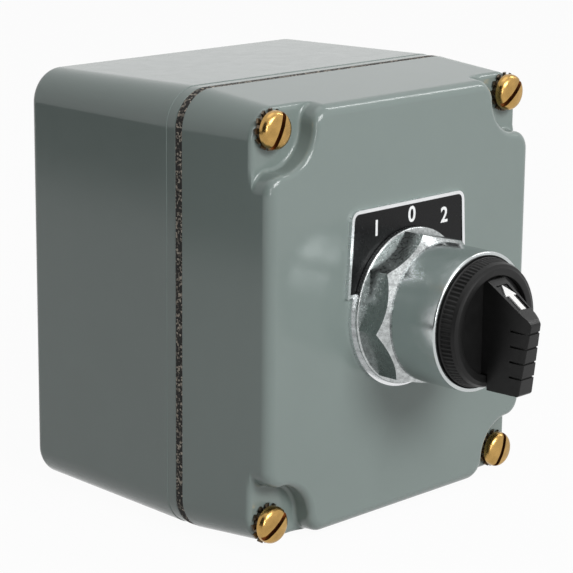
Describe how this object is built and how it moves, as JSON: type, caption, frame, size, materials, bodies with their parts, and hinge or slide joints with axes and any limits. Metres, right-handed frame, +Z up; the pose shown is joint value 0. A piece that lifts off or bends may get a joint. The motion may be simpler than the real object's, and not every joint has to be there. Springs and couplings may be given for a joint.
{
  "type": "selector switch",
  "caption": "Three-position selector switch in a drafted die-cast box, with a ring nut, a lever knob, a cam and a contact block inside.",
  "frame": {"origin": "middle of the flat back face of the rear box", "axes": "+Y out of the back face towards the wall, so the knob points along -Y; +Z up; +X to the right as the front shows it"},
  "size_m": [0.1, 0.1258, 0.11],
  "materials": {
    "enamel_box": "gloss grey-green enamel on die-cast metal",
    "enamel_cover": "gloss grey-green enamel on die-cast metal",
    "cork": "granular cork and rubber",
    "brass": "turned, slightly oxidised",
    "washer_steel": "stamped, dark",
    "ground_green": "green finish on steel",
    "plate_aluminium": "polished border round a black field",
    "nut_chrome": "satin chrome on die-cast zinc, bright edges",
    "zinc": "plain die-cast zinc",
    "steel": "zinc plated",
    "seal_rubber": "moulded rubber",
    "bearing_bronze": "turned bronze",
    "contact_copper": "stamped copper alloy with silver tips",
    "block_plastic": "moulded, matt",
    "plunger_plastic": "moulded, matt",
    "knob_plastic": "moulded, satin",
    "arrow_white": "moulded white"
  },
  "bodies": {
    "enclosure": {"rear_box": "enamel_box", "joint_gasket": "cork", "cover": "enamel_cover", "cover_screws": "brass", "lock_washers": "washer_steel", "ground_screw": "ground_green", "legend_plate": "plate_aluminium", "ring_nut": "nut_chrome", "panel_seal": "seal_rubber", "operator_body": "zinc", "shaft_bearing": "bearing_bronze", "shaft_seal": "seal_rubber", "detent_spring": "steel", "adapter_plate": "steel", "contact_housing": "block_plastic", "contact_lid": "block_plastic", "block_screws": "steel", "terminal_straps": "contact_copper", "terminal_clamps": "steel", "terminal_screws": "brass", "return_spring_left": "steel", "return_spring_right": "steel"},
    "knob": {"knob_ring": "knob_plastic", "knob_lever": "knob_plastic", "lever_arrow": "arrow_white", "knob_screw": "steel", "operating_shaft": "steel", "thrust_washer": "steel", "cam": "block_plastic", "retaining_ring": "steel"},
    "left_contact": {"plunger_left": "plunger_plastic", "bridge_left": "contact_copper"},
    "right_contact": {"plunger_right": "plunger_plastic", "bridge_right": "contact_copper"}
  },
  "joints": [
    {"name": "knob_turn", "type": "hinge", "parent": "enclosure", "child": "knob", "pos_m": [0, -0.085, 0], "axis": [0, -1, 0], "range_deg": [-45, 45], "deforming": ["detent_spring"]},
    {"name": "left_plunger_slide", "type": "slide", "parent": "enclosure", "child": "left_contact", "axis": [0, 1, 0], "range_m": [-0.0016, 0.0016], "deforming": ["return_spring_left"]},
    {"name": "right_plunger_slide", "type": "slide", "parent": "enclosure", "child": "right_contact", "axis": [0, 1, 0], "range_m": [-0.0016, 0.0016], "deforming": ["return_spring_right"]}
  ],
  "couplings": [
    {"joint": "left_plunger_slide", "follows": "knob_turn", "m_per_rad": 0.0020371},
    {"joint": "right_plunger_slide", "follows": "knob_turn", "m_per_rad": -0.0020371}
  ]
}
